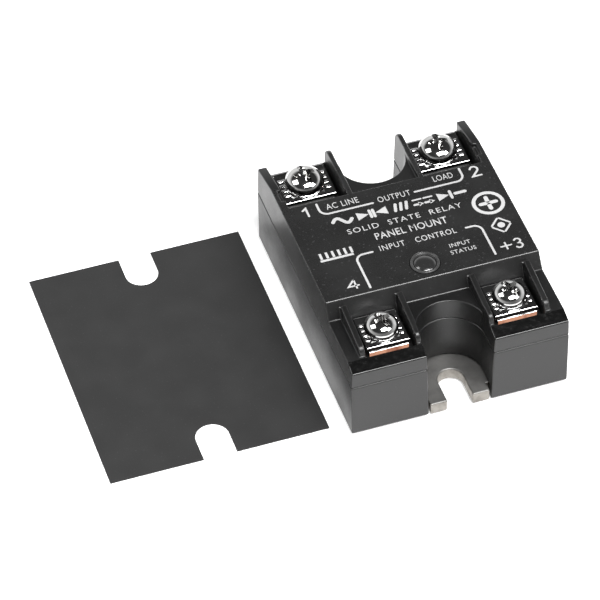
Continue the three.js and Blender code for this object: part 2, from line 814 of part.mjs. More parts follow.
// A round-topped light with a flange, standing on two legs under the lens.
function statusLed() {
  const base = ON_BOARD + 1.4;
  const top = DECK_TOP - DECK_SKIN - 1.0;
  const profile = [
    [0, base],
    [LED_RADIUS + 0.35, base],
    [LED_RADIUS + 0.35, base + 0.9],
    [LED_RADIUS, base + 0.9],
    [LED_RADIUS, top - 1.2],
    [LED_RADIUS * 0.75, top - 0.4],
    [LED_RADIUS * 0.4, top],
    [0, top],
  ].map(([radius, z]) => new THREE.Vector2(radius, z));
  const turned = new THREE.LatheGeometry(profile, 20);
  turned.rotateX(Math.PI / 2);
  const legs = [-0.9, 0.9].map((step) =>
    block([step - 0.25, step + 0.25], [-0.25, 0.25], [ON_BOARD, base + 0.3]),
  );
  return join(solid(turned), ...legs).translate([LIGHT.x, LIGHT.y, 0]);
}

// A domed window pressed up through the deck, with a flange under it.
function ledLens() {
  const ceiling = DECK_TOP - DECK_SKIN;
  const profile = [
    [0, ceiling - 0.7],
    [LENS_RADIUS + 0.8, ceiling - 0.7],
    [LENS_RADIUS + 0.8, ceiling - SEAT_GAP],
    [LENS_RADIUS, ceiling - SEAT_GAP],
    [LENS_RADIUS, DECK_TOP],
    [LENS_RADIUS * 0.85, DECK_TOP + 0.22],
    [LENS_RADIUS * 0.5, DECK_TOP + 0.38],
    [0, DECK_TOP + 0.42],
  ].map(([radius, z]) => new THREE.Vector2(radius, z));
  const turned = new THREE.LatheGeometry(profile, 24);
  turned.rotateX(Math.PI / 2);
  return solid(turned).translate([LIGHT.x, LIGHT.y, 0]);
}

// ---- Assembly --------------------------------------------------------------------

const FINISH = {
  housing: { color: 0x1b1c1d, roughness: 0.4, metalness: 0 },
  plate: { color: 0xa9a49c, roughness: 0.45, metalness: 1 },
  pad: { color: 0x46474a, roughness: 0.8, metalness: 0 },
  plated: { color: 0xd7d8d6, roughness: 0.18, metalness: 1 },
  copper: { color: 0xc98a6b, roughness: 0.3, metalness: 1 },
  ceramic: { color: 0xe9e6dc, roughness: 0.6, metalness: 0 },
  silicon: { color: 0x5b5f68, roughness: 0.3, metalness: 0.6 },
  board: { color: 0x1f5a37, roughness: 0.5, metalness: 0 },
  blackPackage: { color: 0x17181a, roughness: 0.5, metalness: 0 },
  resistor: { color: 0xb79d76, roughness: 0.6, metalness: 0 },
  film: { color: 0xc7902e, roughness: 0.45, metalness: 0 },
  potting: { color: 0x2a2c2e, roughness: 0.6, metalness: 0 },
  light: { color: 0x9fae9a, roughness: 0.15, metalness: 0 },
};

const relay = new THREE.Group();
relay.name = "solid_state_relay";

function add(name, body, finish) {
  const material = new THREE.MeshStandardMaterial(FINISH[finish]);
  const mesh = new THREE.Mesh(geometryOf(body), material);
  mesh.name = name;
  relay.add(mesh);
}

add("base_plate", basePlate(), "plate");
add("thermal_pad", thermalPad(), "pad");
add("lower_case", lowerCase(), "housing");
add("top_cover", topCover(), "housing");

for (const [row, kind] of [
  [INPUT, "input"],
  [OUTPUT, "output"],
]) {
  row.names.forEach((number, i) => {
    const side = i === 0 ? 1 : -1;
    const strap = kind === "input" ? inputStrap(side) : outputStrap(side);
    add(`${kind}_strap_${number}`, strap, "plated");
    add(`${kind}_nut_${number}`, nut(row, side), "plated");
    add(`${kind}_clamp_${number}`, clamp(row, side), "plated");
    add(`${kind}_screw_${number}`, screw(row, side), "plated");
  });
}

add("ceramic_substrate", substrate(), "ceramic");
for (const [number, side] of [
  [1, -1],
  [2, 1],
]) {
  const { gate, back } = leadPlaces(side);
  add(`copper_land_${number}`, land(side), "copper");
  add(`thyristor_${number}`, thyristor(side), "silicon");
  add(`thyristor_link_${number}`, link(side), "copper");
  add(`gate_lead_${number}`, lead(gate), "plated");
  add(`return_lead_${number}`, lead(back), "plated");
}
add("potting", potting(), "potting");

add("circuit_board", circuitBoard(), "board");
add("optocoupler", optocoupler(), "blackPackage");
add("input_resistor", axialPart(-12, -6.0, 1.2, 6.5), "resistor");
add("input_diode", axialPart(-12, -10.2, 1.3, 5.2), "blackPackage");
add("limiter_transistor", limiterTransistor(), "blackPackage");
add("gate_resistor_1", axialPart(-11.5, 0.5, 1.1, 6.3), "resistor");
add("gate_resistor_2", axialPart(10.5, 0.5, 1.1, 6.3), "resistor");
add("snubber_resistor", axialPart(9.5, 8.0, 1.6, 9.0), "resistor");
add("snubber_capacitor", snubberCapacitor(), "film");
add("status_led", statusLed(), "light");
add("led_lens", ledLens(), "light");

export default relay;
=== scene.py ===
"""A panel-mount solid state relay with its loose thermal pad, on a pale studio floor.

The finished shapes are made here from the CAD nodes. The shells, plate, straps and pad are
bevelled copies of them. The screws, clamps, light window and deck print are built at the places
the nodes give. Lengths are metres where nothing else is said; sizes written as numbers are
millimetres times MM.
"""

import json
import math

import bmesh
import bpy
from mathutils import Matrix, Vector


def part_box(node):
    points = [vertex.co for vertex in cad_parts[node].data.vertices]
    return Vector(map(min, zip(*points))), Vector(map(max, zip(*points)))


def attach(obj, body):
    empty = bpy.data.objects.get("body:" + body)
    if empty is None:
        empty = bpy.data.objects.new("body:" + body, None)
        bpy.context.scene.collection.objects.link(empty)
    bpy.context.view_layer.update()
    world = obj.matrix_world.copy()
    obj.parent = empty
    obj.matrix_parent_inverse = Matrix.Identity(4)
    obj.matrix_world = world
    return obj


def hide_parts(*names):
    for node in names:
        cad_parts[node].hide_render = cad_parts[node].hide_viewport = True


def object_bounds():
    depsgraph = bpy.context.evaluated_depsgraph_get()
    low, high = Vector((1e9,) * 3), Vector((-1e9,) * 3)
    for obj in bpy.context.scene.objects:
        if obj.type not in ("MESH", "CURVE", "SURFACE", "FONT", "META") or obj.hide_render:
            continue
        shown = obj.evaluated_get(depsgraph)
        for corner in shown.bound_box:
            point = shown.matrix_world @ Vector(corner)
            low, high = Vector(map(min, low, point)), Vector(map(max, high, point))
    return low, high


MM = 0.001
WHITE = (1, 1, 1, 1)

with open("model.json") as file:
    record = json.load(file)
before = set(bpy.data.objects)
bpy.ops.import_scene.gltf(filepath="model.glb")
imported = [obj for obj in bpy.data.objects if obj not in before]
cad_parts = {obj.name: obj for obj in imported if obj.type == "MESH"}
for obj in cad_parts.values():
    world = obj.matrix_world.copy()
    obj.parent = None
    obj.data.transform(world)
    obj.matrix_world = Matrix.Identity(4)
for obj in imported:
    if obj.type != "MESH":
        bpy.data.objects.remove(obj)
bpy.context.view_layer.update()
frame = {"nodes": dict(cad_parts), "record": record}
nodes = frame["nodes"]

TERMINALS = {"1": "output", "2": "output", "3": "input", "4": "input"}

# ---- Shader groups -------------------------------------------------------------------

# The Mix node keeps its colour sockets at these places
MIX_FACTOR, MIX_FIRST, MIX_SECOND, MIX_RESULT = 0, 6, 7, 2


def put(tree, kind, settings=(), **inputs):
    """A node with its settings and constant inputs. A space in an input's name is an underscore."""
    node = tree.nodes.new(kind)
    for key, value in dict(settings).items():
        setattr(node, key, value)
    for key, value in inputs.items():
        node.inputs[key.replace("_", " ")].default_value = value
    return node


def feed(tree, value, socket):
    """Give a socket a constant, or link another socket to it."""
    if isinstance(value, (int, float, tuple)):
        socket.default_value = value
    else:
        tree.links.new(value, socket)


def math_node(tree, operation, first, second):
    """The result of a maths node. first and second are numbers or sockets."""
    node = put(tree, "ShaderNodeMath", {"operation": operation})
    for socket, value in zip(node.inputs, (first, second)):
        feed(tree, value, socket)
    return node.outputs[0]


def mix_colour(tree, factor, first, second):
    """A blend of two colours. Each may be a constant or a socket."""
    node = put(tree, "ShaderNodeMix", {"data_type": "RGBA"})
    for place, value in ((MIX_FACTOR, factor), (MIX_FIRST, first), (MIX_SECOND, second)):
        feed(tree, value, node.inputs[place])
    return node.outputs[MIX_RESULT]


def noise_value(tree, scale, detail=2.0, stretch=None):
    """Noise on Object coordinates. scale is per metre, a number or a socket."""
    where = put(tree, "ShaderNodeTexCoord").outputs["Object"]
    if stretch:
        mapping = put(tree, "ShaderNodeMapping", Scale=stretch)
        tree.links.new(where, mapping.inputs["Vector"])
        where = mapping.outputs["Vector"]
    texture = put(tree, "ShaderNodeTexNoise", Detail=detail)
    tree.links.new(where, texture.inputs["Vector"])
    feed(tree, scale, texture.inputs["Scale"])
    return texture.outputs[0]


def ramp(tree, value, low, high):
    """0 at low, 1 at high, clamped. low may be the larger."""
    node = put(tree, "ShaderNodeMapRange", {"clamp": True}, From_Min=low, From_Max=high)
    tree.links.new(value, node.inputs["Value"])
    return node.outputs[0]


def surface_group(name, inputs):
    """A node group that gives Color, Roughness and Height, with its input and output nodes."""
    tree = bpy.data.node_groups.new(name, "ShaderNodeTree")
    for label, default in inputs.items():
        kind = "NodeSocketColor" if isinstance(default, tuple) else "NodeSocketFloat"
        socket = tree.interface.new_socket(name=label, in_out="INPUT", socket_type=kind)
        socket.default_value = default
    for label, kind in (("Color", "Color"), ("Roughness", "Float"), ("Height", "Float")):
        tree.interface.new_socket(name=label, in_out="OUTPUT", socket_type=f"NodeSocket{kind}")
    return tree, tree.nodes.new("NodeGroupInput"), tree.nodes.new("NodeGroupOutput")


def wire_outputs(tree, result, colour, rough, height):
    for label, value in (("Color", colour), ("Roughness", rough), ("Height", height)):
        tree.links.new(value, result.inputs[label])


def moulded_group():
    """Moulded plastic: fine grain, soft rubbed patches, and a few pale dust specks."""
    tree, given, result = surface_group(
        "Moulded Plastic",
        {
            "Color": (0.02, 0.02, 0.02, 1),
            "Rubbed Color": (0.05, 0.05, 0.05, 1),
            "Roughness": 0.35,
            "Rubbed": 0.3,
            "Grain Scale": 3000.0,
            "Dust": 0.3,
        },
    )
    dust_colour = (0.25, 0.25, 0.26, 1)
    rough_where_rubbed = 0.3
    rough_from_grain = 0.12
    grain = noise_value(tree, given.outputs["Grain Scale"], detail=3.0)
    patches = ramp(tree, noise_value(tree, scale=120.0, detail=4.0), low=0.4, high=0.75)
    rubbed = math_node(tree, "MULTIPLY", patches, given.outputs["Rubbed"])
    colour = mix_colour(tree, rubbed, given.outputs["Color"], given.outputs["Rubbed Color"])
    specks = ramp(tree, noise_value(tree, scale=2600.0, detail=0.0), low=0.76, high=0.80)
    specks = math_node(tree, "MULTIPLY", specks, given.outputs["Dust"])
    colour = mix_colour(tree, specks, colour, dust_colour)
    from_rubbed = math_node(tree, "MULTIPLY", rubbed, rough_where_rubbed)
    rough = math_node(tree, "ADD", given.outputs["Roughness"], from_rubbed)
    from_grain = math_node(tree, "MULTIPLY", grain, rough_from_grain)
    rough = math_node(tree, "ADD", rough, from_grain)
    wire_outputs(tree, result, colour, rough, grain)
    return tree


def speckle_group():
    """A coarse surface: bright flecks on a dark ground, glossier where the noise is high."""
    tree, given, result = surface_group(
        "Coarse Speckle",
        {
            "Color": (0.03, 0.03, 0.03, 1),
            "Fleck Color": (0.2, 0.2, 0.2, 1),
            "Roughness": 0.4,
            "Fleck Scale": 2600.0,
            "Fleck Share": 0.5,
        },
    )
    rough_from_fine = -0.25
    fine = noise_value(tree, given.outputs["Fleck Scale"], detail=2.0)
    coarse = noise_value(tree, scale=900.0, detail=3.0)
    flecks = ramp(tree, math_node(tree, "MULTIPLY", fine, coarse), low=0.26, high=0.42)
    share = math_node(tree, "MULTIPLY", flecks, given.outputs["Fleck Share"])
    colour = mix_colour(tree, share, given.outputs["Color"], given.outputs["Fleck Color"])
    from_fine = math_node(tree, "MULTIPLY", fine, rough_from_fine)
    rough = math_node(tree, "ADD", given.outputs["Roughness"], from_fine)
    wire_outputs(tree, result, colour, rough, math_node(tree, "ADD", fine, coarse))
    return tree


def metal_group():
    """Metal with faint tarnish, smears that change its gloss, and fine scratches one way."""
    tree, given, result = surface_group(
        "Handled Metal",
        {
            "Color": (0.8, 0.8, 0.8, 1),
            "Tarnish Color": (0.4, 0.38, 0.36, 1),
            "Tarnish": 0.3,
            "Roughness": 0.15,
            "Smear": 0.15,
            "Scratch Scale": 900.0,
        },
    )
    scratch_stretch = (1.0, 3.0, 1.0)
    patches = ramp(tree, noise_value(tree, scale=420.0, detail=5.0), low=0.45, high=0.75)
    tarnish = math_node(tree, "MULTIPLY", patches, given.outputs["Tarnish"])
    colour = mix_colour(tree, tarnish, given.outputs["Color"], given.outputs["Tarnish Color"])
    smears = noise_value(tree, scale=260.0, detail=3.0)
    rough = math_node(tree, "MULTIPLY", smears, given.outputs["Smear"])
    rough = math_node(tree, "ADD", rough, given.outputs["Roughness"])
    scratches = noise_value(tree, given.outputs["Scratch Scale"], 2.0, scratch_stretch)
    wire_outputs(tree, result, colour, rough, scratches)
    return tree


MOULDED = moulded_group()
SPECKLE = speckle_group()
METAL = metal_group()

# ---- Materials -----------------------------------------------------------------------

# A rubbed patch of plastic is paler than the plastic by this factor and this much more
RUBBED_GAIN = 1.7
RUBBED_LIFT = 0.004


def grey(value, tint=(1.0, 1.0, 1.0)):
    return (value * tint[0], value * tint[1], value * tint[2], 1.0)


def material(name, group, given, bump, shader=()):
    """A principled material fed by a group. bump is its depth, shader its constant inputs."""
    made = bpy.data.materials.new(name)
    made.use_nodes = True
    tree = made.node_tree
    tree.nodes.clear()
    out = tree.nodes.new("ShaderNodeOutputMaterial")
    principled = tree.nodes.new("ShaderNodeBsdfPrincipled")
    tree.links.new(principled.outputs["BSDF"], out.inputs["Surface"])
    for key, value in dict(shader).items():
        principled.inputs[key].default_value = value
    source = tree.nodes.new("ShaderNodeGroup")
    source.node_tree = group
    for key, value in given.items():
        source.inputs[key].default_value = value
    relief = put(tree, "ShaderNodeBump", Strength=1.0, Distance=bump)
    tree.links.new(source.outputs["Color"], principled.inputs["Base Color"])
    tree.links.new(source.outputs["Roughness"], principled.inputs["Roughness"])
    tree.links.new(source.outputs["Height"], relief.inputs["Height"])
    tree.links.new(relief.outputs["Normal"], principled.inputs["Normal"])
    return made


def plastic(name, shade, roughness, rubbed, grain, bump, dust, shader=(), tint=(1, 1, 1)):
    given = {
        "Color": grey(shade, tint),
        "Rubbed Color": grey(shade * RUBBED_GAIN + RUBBED_LIFT, tint),
        "Roughness": roughness,
        "Rubbed": rubbed,
        "Grain Scale": grain,
        "Dust": dust,
    }
    return material(name, MOULDED, given, bump, shader)


def metal(name, colours, tarnish, roughness, smear, bump=1e-6, scratch=900.0, metallic=1.0):
    """colours are those of clean and of tarnished metal."""
    clean, tarnished = colours
    given = {
        "Color": (*clean, 1),
        "Tarnish Color": (*tarnished, 1),
        "Tarnish": tarnish,
        "Roughness": roughness,
        "Smear": smear,
        "Scratch Scale": scratch,
    }
    return material(name, METAL, given, bump, {"Metallic": metallic})


# Housing
DECK = plastic("deck_plastic", 0.012, 0.20, rubbed=0.25, grain=2200.0, bump=1.2e-6, dust=0.1)
SHELL = plastic("shell_plastic", 0.006, 0.27, rubbed=0.3, grain=2600.0, bump=0.9e-6, dust=0.05)
WALL = plastic("lower_plastic", 0.006, 0.29, rubbed=0.35, grain=2400.0, bump=1.2e-6, dust=0.05)
STRIP = material(
    "lip_plastic",
    SPECKLE,
    {
        "Color": grey(0.003),
        "Fleck Color": grey(0.024),
        "Roughness": 0.3,
        "Fleck Share": 0.6,
        "Fleck Scale": 3800.0,
    },
    bump=0.8e-5,
)

# Metal
NICKEL = metal(
    "nickel_plate",
    [(0.60, 0.60, 0.595), (0.30, 0.295, 0.285)],
    tarnish=0.6,
    roughness=0.05,
    smear=0.08,
    bump=1.2e-5,
    scratch=450.0,
)
CLAMP = metal(
    "clamp_plate",
    [(0.52, 0.52, 0.52), (0.24, 0.235, 0.23)],
    tarnish=0.7,
    roughness=0.05,
    smear=0.10,
    bump=4.5e-5,
    scratch=520.0,
)
COPPER = metal(
    "copper_edge",
    [(0.95, 0.47, 0.30), (0.30, 0.06, 0.03)],
    tarnish=0.85,
    roughness=0.3,
    smear=0.2,
    bump=5e-6,
    scratch=2500.0,
    metallic=0.25,
)
PLATE_TOP = metal(
    "plate_face",
    [(0.20, 0.197, 0.19), (0.10, 0.098, 0.095)],
    tarnish=0.5,
    roughness=0.42,
    smear=0.2,
    bump=2e-6,
    metallic=0.8,
)
PLATE_CUT = metal(
    "plate_cut",
    [(0.30, 0.285, 0.262), (0.12, 0.105, 0.092)],
    tarnish=1.0,
    roughness=0.42,
    smear=0.25,
    bump=2.2e-5,
    scratch=2600.0,
)
SILICON = metal(
    "silicon_die",
    [(0.3, 0.32, 0.36), (0.2, 0.21, 0.25)],
    tarnish=0.4,
    roughness=0.25,
    smear=0.1,
)

# Pad, print, light window and the parts inside
PAD = plastic("pad_sheet", 0.014, 0.55, rubbed=0.25, grain=4200.0, bump=6e-6, dust=0.04)
INK = plastic("print_ink", 0.40, 0.5, rubbed=0.2, grain=3800.0, bump=1e-6, dust=0.0)
COATED = {"Coat Weight": 0.6}
LENS = plastic("light_window", 0.018, 0.10, 0.2, 1200.0, bump=3e-7, dust=0.05, shader=COATED)
# The rim is deck plastic painted paler, a painted highlight on the raised ring
RIM_PAINTED_HIGHLIGHT = plastic("light_rim_painted_highlight", 0.035, 0.22, rubbed=0.3, grain=2600.0, bump=2e-6, dust=0.1)
CERAMIC = plastic("alumina", 0.75, 0.5, rubbed=0.2, grain=3500.0, bump=2e-6, dust=0.0)
PACKAGE = plastic("moulded_package", 0.02, 0.5, rubbed=0.3, grain=4000.0, bump=4e-6, dust=0.2)
RESIN = plastic("potting_resin", 0.03, 0.35, rubbed=0.4, grain=900.0, bump=5e-6, dust=0.3)
GREEN = (0.4, 1.5, 0.7)
TAN = (1.2, 0.95, 0.6)
AMBER = (1.5, 0.85, 0.2)
BOARD = plastic("solder_mask", 0.06, 0.4, 0.3, 1500.0, bump=2e-6, dust=0.1, tint=GREEN)
RESISTOR = plastic("lacquer", 0.45, 0.4, 0.3, 2500.0, bump=2e-6, dust=0.2, tint=TAN)
FILM = plastic("dipped_film", 0.4, 0.3, 0.3, 1800.0, bump=2e-6, dust=0.2, tint=AMBER)

SLOT_MATERIALS = {
    "housing": SHELL,
    "plate": PLATE_TOP,
    "pad": PAD,
    "plated": NICKEL,
    "strap": CLAMP,
    "copper": COPPER,
    "ceramic": CERAMIC,
    "silicon": SILICON,
    "board": BOARD,
    "package": PACKAGE,
    "resistor": RESISTOR,
    "film": FILM,
    "potting": RESIN,
    "lens": LENS,
}

# ---- Shapes --------------------------------------------------------------------------

SAME_POINT = 2e-6  # corners nearer than this are one
SHORT_EDGE = 0.12 * MM  # shorter edges are closed up, so that a bevel has room
LEVEL = math.radians(0.6)  # faces that turn less than this are one face
BEVEL_FROM = math.radians(28)  # edges that turn more than this are rounded
CREASE = 38  # degrees, past which a rounded shape keeps a crease
ON_AXIS = 1e-9  # radius below which a profile starts on the axis


def put_in_order(mesh):
    """Order a bmesh by place, since its operators leave the order of what they make to chance."""

    def place(vert):
        return tuple(vert.co)

    def corners(item):
        return sorted(place(vert) for vert in item.verts)

    for items, key in ((mesh.verts, place), (mesh.edges, corners), (mesh.faces, corners)):
        rank = {item: k for k, item in enumerate(sorted(items, key=key))}
        items.sort(key=rank.get)


def object_from(mesh, name, materials):
    """A new object at the origin from a bmesh, which is freed. Its faces point out."""
    data = bpy.data.meshes.new(name)
    bmesh.ops.recalc_face_normals(mesh, faces=mesh.faces)
    if mesh.calc_volume(signed=True) < 0:
        bmesh.ops.reverse_faces(mesh, faces=mesh.faces)
    put_in_order(mesh)
    mesh.to_mesh(data)
    mesh.free()
    for each in materials:
        data.materials.append(each)
    made = bpy.data.objects.new(name, data)
    bpy.context.scene.collection.objects.link(made)
    return made


def smooth_with_creases(mesh, angle=CREASE):
    for face in mesh.faces:
        face.smooth = True
    for edge in mesh.edges:
        if edge.is_manifold:
            edge.smooth = edge.calc_face_angle(0) < math.radians(angle)


def lifted(grown, height):
    """Put the new corners of an extrusion at a height."""
    for item in grown["geom"]:
        if isinstance(item, bmesh.types.BMVert):
            item.co.z = height


def bevelled(node, name, materials, width, segments=2, choose=None):
    """A copy of a CAD node with its edges rounded. choose gives each face's material index."""
    mesh = bmesh.new()
    mesh.from_mesh(nodes[node].data)
    bmesh.ops.remove_doubles(mesh, verts=mesh.verts, dist=SAME_POINT)
    bmesh.ops.dissolve_limit(
        mesh, angle_limit=LEVEL, verts=mesh.verts, edges=mesh.edges, delimit=set()
    )
    bmesh.ops.remove_doubles(mesh, verts=mesh.verts, dist=SHORT_EDGE)
    for face in mesh.faces:
        face.material_index = choose(face) if choose else 0
    turned = [e for e in mesh.edges if e.is_manifold and e.calc_face_angle(0) > BEVEL_FROM]
    bmesh.ops.bevel(
        mesh,
        geom=turned,
        offset=width,
        offset_type="OFFSET",
        segments=segments,
        profile=0.5,
        affect="EDGES",
        clamp_overlap=False,
        material=-1,
    )
    smooth_with_creases(mesh)
    made = object_from(mesh, name, materials)
    modifier = made.modifiers.new("flat faces", "WEIGHTED_NORMAL")
    modifier.keep_sharp = True
    modifier.weight = 60
    return made


def take_over(made, *names, slot, body="housing"):
    """made stands for these nodes and rides on their body. slot is not used."""
    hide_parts(*names)
    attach(made, body)


def lathe(profile, steps, centre):
    """A turned solid about a vertical axis. profile is (radius, height) points.

    It runs from the axis to the axis, or round the section of a ring.
    """
    mesh = bmesh.new()
    corners = [mesh.verts.new(centre + Vector((radius, 0, z))) for radius, z in profile]
    lines = [mesh.edges.new(pair) for pair in zip(corners, corners[1:])]
    if profile[0][0] > ON_AXIS:
        lines.append(mesh.edges.new((corners[-1], corners[0])))
    bmesh.ops.spin(
        mesh,
        geom=corners + lines,
        cent=centre,
        axis=(0, 0, 1),
        angle=2 * math.pi,
        steps=steps,
        use_merge=True,
        use_duplicate=False,
    )
    bmesh.ops.remove_doubles(mesh, verts=mesh.verts, dist=1e-8)
    bmesh.ops.recalc_face_normals(mesh, faces=mesh.faces)
    return mesh


def prism(outline, low, high, mesh=None):
    """A flat piece between two heights from an outline of (x, y) points, added to mesh if given."""
    mesh = mesh or bmesh.new()
    bottom = mesh.faces.new([mesh.verts.new((x, y, low)) for x, y in outline])
    lifted(bmesh.ops.extrude_face_region(mesh, geom=[bottom], use_keep_orig=True), high)
    return mesh


def cut_by(made, *cutters):
    """made with the cutters taken out of it, as a bmesh. The helper objects are removed."""
    for cutter in cutters:
        modifier = made.modifiers.new("cut", "BOOLEAN")
        modifier.operation = "DIFFERENCE"
        modifier.solver = "EXACT"
        modifier.object = cutter
    bpy.context.view_layer.update()
    result = made.evaluated_get(bpy.context.evaluated_depsgraph_get()).to_mesh()
    mesh = bmesh.new()
    mesh.from_mesh(result)
    for each in (made, *cutters):
        bpy.data.objects.remove(each)
    return mesh


# ---- Housing -------------------------------------------------------------------------

COVER_LOW, COVER_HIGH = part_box("top_cover")
DECK_Z = COVER_HIGH.z
LIP_BACK = COVER_LOW.y + 2.9 * MM  # where the coarse front lip ends
LIP_TOP = DECK_Z - 3 * MM
LIP_SLOPE = (0.5, 0.985)  # range of the upward part of the lip's normal
UPWARD = 0.9  # a normal with more than this along an axis faces that way


def cover_face(face):
    """0 shell, 1 deck, 2 coarse lip."""
    centre = face.calc_center_median()
    if face.normal.z > UPWARD and centre.z > DECK_Z - 0.2 * MM:
        return 1
    sloped = LIP_SLOPE[0] < face.normal.z < LIP_SLOPE[1]
    if sloped and centre.y < LIP_BACK and centre.z < LIP_TOP:
        return 2
    return 0


def plate_face(face):
    """0 top and bottom, 1 cut edges."""
    return 0 if abs(face.normal.z) > 0.5 else 1


cover = bevelled("top_cover", "cover_shell", [SHELL, DECK, STRIP], 0.26 * MM, 3, cover_face)
take_over(cover, "top_cover", slot="housing")

lower = bevelled("lower_case", "lower_shell", [WALL], 0.3 * MM, 3)
take_over(lower, "lower_case", slot="housing")

plate = bevelled("base_plate", "plate_body", [PLATE_TOP, PLATE_CUT], 0.35 * MM, 3, plate_face)
take_over(plate, "base_plate", slot="plate")

pad = bevelled("thermal_pad", "pad_body", [PAD], 0.04 * MM)
take_over(pad, "thermal_pad", slot="pad", body="thermal_pad")

# ---- Terminals -----------------------------------------------------------------------

SHANK = {"output": 2.08 * MM, "input": 1.75 * MM}  # radius
HEAD_HIGH = {"output": 3.1 * MM, "input": 2.8 * MM}
HEAD_RIM = 0.16  # share of the head's height below its dome
HEAD_STEPS = 16
HEAD_ROUND = 72
DRIVER_TURN = {"1": 8, "2": -3, "3": 24, "4": 17}  # degrees each slot is turned
CROSS_DEEP = 1.75 * MM
SLOT_DEEP = 1.15 * MM
OVER_HEAD = 0.3 * MM

SADDLE_HOLE = {"output": 2.43 * MM, "input": 2.1 * MM}  # radius
SADDLE_THICK = 0.88 * MM
SADDLE_PITCH = (0.14 * MM, 0.085 * MM)  # size of the grid's cells
LIP_HIGH = 0.2 * MM
BACK_HIGH = 0.12 * MM
RIDGE_HIGH = 0.22 * MM
RIDGE_HALF = 0.5 * MM
RIDGE_PLACES = (-0.52, -0.2, 0.12, 0.44)  # shares of the half length
ROLL_DEEP = 0.4 * MM
ROLL_WIDE = 0.45 * MM


def strap_face(kind):
    """Picks each face's material: plated, with bare copper on the end where it was cut."""
    way = 1 if kind == "output" else -1
    return lambda face: 1 if face.normal.y * way > UPWARD else 0


def dome(radius, rim, rise, steps):
    """Profile points from the foot of a dome, at height rim, to its top on the axis."""
    points = []
    for k in range(1, steps + 1):
        turn = math.pi / 2 * k / steps
        out = radius * math.cos(turn) if k < steps else 0
        points.append((out, rim + rise * math.sin(turn)))
    return points


def screw_head(number, kind):
    """A domed head with a slot and a cross in it, on its shank."""
    low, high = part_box(f"{kind}_screw_{number}")
    middle = (low + high) / 2
    radius = (high.x - low.x) / 2
    shank = SHANK[kind]
    head_high = HEAD_HIGH[kind]
    seat = high.z - head_high
    foot = low.z - seat
    rim = head_high * HEAD_RIM
    # The shank with a chamfered foot, then the rounded underside of the head, then the dome
    profile = [(0, foot), (shank - 0.4 * MM, foot), (shank, foot + 0.5 * MM), (shank, 0)]
    profile += [(radius - 0.25 * MM, 0), (radius - 0.06 * MM, 0.06 * MM), (radius, 0.22 * MM)]
    profile += [(radius, rim), *dome(radius, rim, head_high - rim, HEAD_STEPS)]
    centre = Vector((middle.x, middle.y, seat))
    body = object_from(lathe(profile, HEAD_ROUND, centre), "turned", [])
    spin = Matrix.Rotation(math.radians(DRIVER_TURN[number]), 4, "Z")

    def cutter(half_x, half_y, deep, taper):
        """A bar that narrows to taper at its foot, turned with the screw."""
        corners = [(-half_x, -half_y), (half_x, -half_y), (half_x, half_y), (-half_x, half_y)]
        low_z = head_high - deep
        high_z = head_high + OVER_HEAD
        mesh = prism(corners, low_z, high_z)
        for vert in mesh.verts:
            if vert.co.z < (low_z + high_z) / 2:
                vert.co.x *= taper
                vert.co.y *= taper
        place = Matrix.Translation(centre) @ spin
        bmesh.ops.transform(mesh, matrix=place, verts=mesh.verts)
        return object_from(mesh, "cutter", [])

    slot = cutter(0.6 * MM, radius * 0.9, SLOT_DEEP, taper=0.62)
    wings = cutter(radius * 0.66, 0.62 * MM, CROSS_DEEP, taper=0.42)
    middle_bar = cutter(0.75 * MM, radius * 0.66, CROSS_DEEP, taper=0.42)
    mesh = cut_by(body, slot, wings, middle_bar)
    bmesh.ops.remove_doubles(mesh, verts=mesh.verts, dist=SAME_POINT)
    smooth_with_creases(mesh, 32)
    made = object_from(mesh, f"{kind}_head_{number}", [NICKEL])
    take_over(made, f"{kind}_screw_{number}", slot="plated", body=f"screw_{number}")


def soft_step(value, edge, width):
    """0 below edge, 1 above edge + width, smooth between."""
    t = min(1.0, max(0.0, (value - edge) / width))
    return t * t * (3 - 2 * t)


